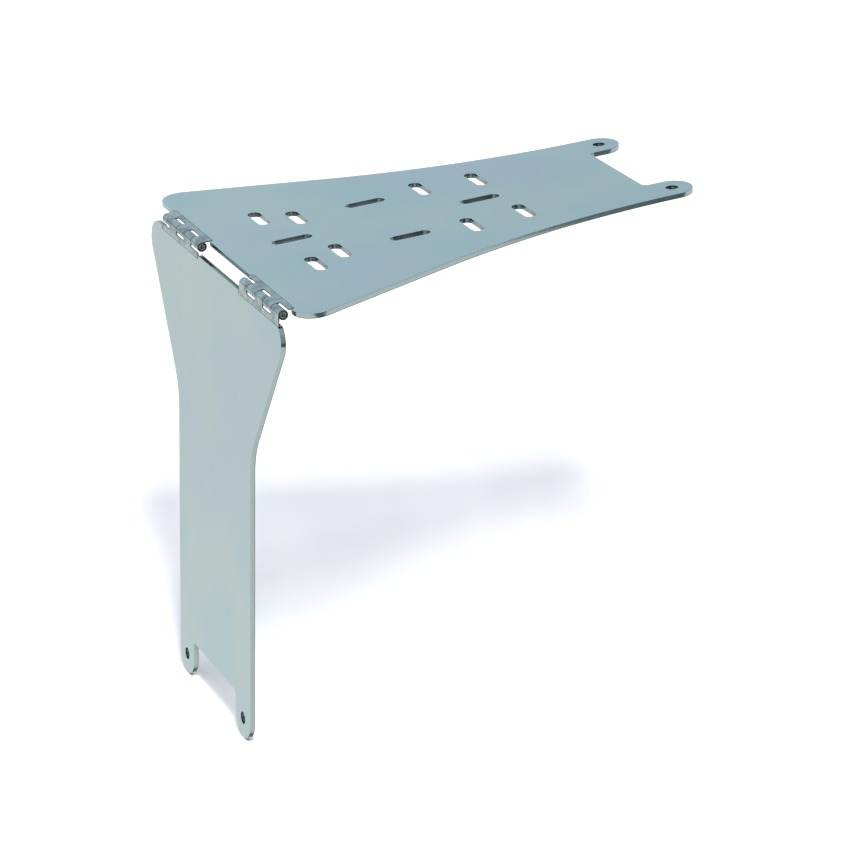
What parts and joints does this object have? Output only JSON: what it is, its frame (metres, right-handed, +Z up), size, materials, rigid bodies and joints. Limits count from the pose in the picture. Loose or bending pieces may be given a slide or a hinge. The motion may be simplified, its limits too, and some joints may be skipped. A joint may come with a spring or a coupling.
{
  "type": "roof bracket",
  "caption": "Folding roof bracket: two flared flat plate arms with forked ends, one slotted, joined along their wide edges by rolled knuckle hinges.",
  "frame": {"origin": "on the hinge pins' axis, midway across the arms", "axes": "+Z up with the plain arm hanging straight down; +Y along the hinge pins; +X from the hinge towards the slotted arm's side"},
  "size_m": [0.4573, 0.3928, 0.5073],
  "materials": {
    "slotted_plate": "bright zinc plate, satin, cool blue-grey",
    "plain_plate": "bright zinc plate, satin, slightly greener",
    "leaf_sheet": "bright zinc plate over rolled sheet",
    "weld_metal": "zinc plated fillet weld, matt",
    "pin_steel": "bright drawn pin"
  },
  "bodies": {
    "slotted_arm": {"slotted_arm": "slotted_plate", "slotted_arm_leaf_left": "leaf_sheet", "slotted_arm_leaf_right": "leaf_sheet", "slotted_arm_weld_left": "weld_metal", "slotted_arm_weld_right": "weld_metal", "hinge_pin_left": "pin_steel", "hinge_pin_right": "pin_steel"},
    "plain_arm": {"plain_arm": "plain_plate", "plain_arm_leaf_left": "leaf_sheet", "plain_arm_leaf_right": "leaf_sheet", "plain_arm_weld_left": "weld_metal", "plain_arm_weld_right": "weld_metal"}
  },
  "joints": [
    {"name": "arm_fold", "type": "hinge", "parent": "slotted_arm", "child": "plain_arm", "pos_m": [0, 0, 0], "axis": [0, 1, 0], "range_deg": [-91, 84]}
  ]
}
